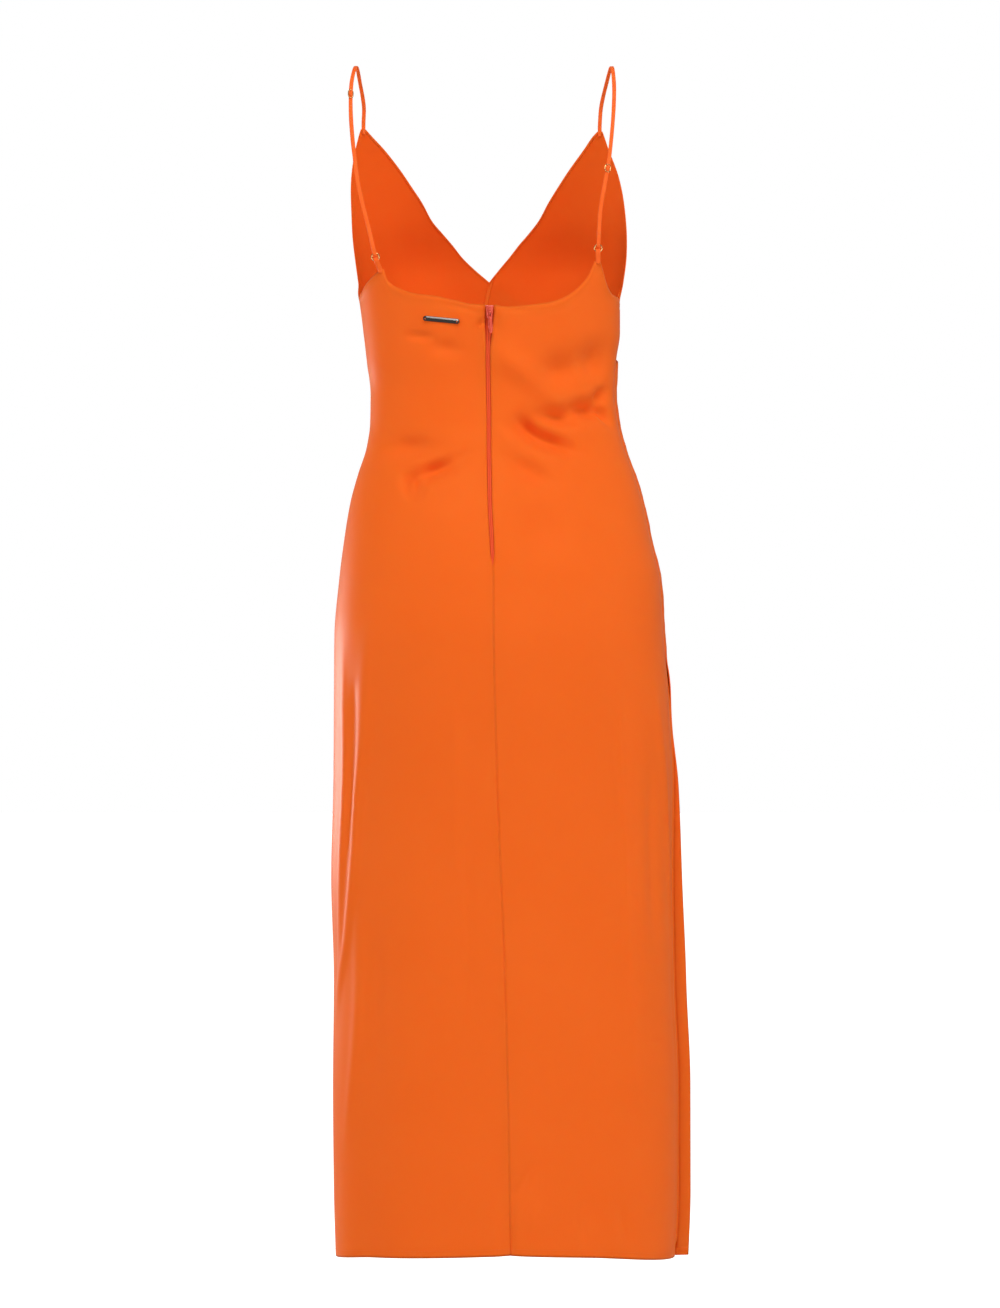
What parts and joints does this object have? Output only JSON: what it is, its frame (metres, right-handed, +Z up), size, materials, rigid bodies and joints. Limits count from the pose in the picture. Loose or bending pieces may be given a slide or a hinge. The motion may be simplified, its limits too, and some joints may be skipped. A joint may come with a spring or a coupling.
{
  "type": "wrap dress",
  "caption": "Midi satin wrap dress in worn form, thin shoulder straps, V front, low scooped back with a centre-back zip, side gathers.",
  "frame": {"origin": "on the centre line between the shoulder straps, level with the underside of the straps where they pass over the wearer's shoulders", "axes": "+Z up the wearer, +Y out of the wearer's back, +X to the wearer's left"},
  "size_m": [0.3781, 0.2658, 1.2527],
  "materials": {
    "satin": "orange satin with a soft sheen, duller on its inner face",
    "strap_satin": "orange satin turned into a narrow tube",
    "gold_metal": "polished gold-coloured plating",
    "zip_tape": "coral red nylon coil and tape",
    "zip_lacquer": "coral red lacquer on die-cast zinc",
    "dark_metal": "polished gunmetal plating, plain"
  },
  "bodies": {
    "dress": {"back_left": "satin", "back_right": "satin", "front_left": "satin", "front_right": "satin", "strap_left": "strap_satin", "strap_right": "strap_satin", "ring_tab_left": "strap_satin", "ring_tab_right": "strap_satin", "strap_slider_left": "gold_metal", "strap_slider_right": "gold_metal", "strap_ring_left": "gold_metal", "strap_ring_right": "gold_metal", "zip_tape": "zip_tape", "zip_slider": "zip_lacquer", "label_bar": "dark_metal"},
    "zip_pull": {"zip_pull": "zip_lacquer"}
  },
  "joints": [
    {"name": "zip_pull_hinge", "type": "hinge", "parent": "dress", "child": "zip_pull", "pos_m": [0.00134, 0.08942, -0.26428], "axis": [1, 0, 0], "range_deg": [-5, 150]}
  ]
}
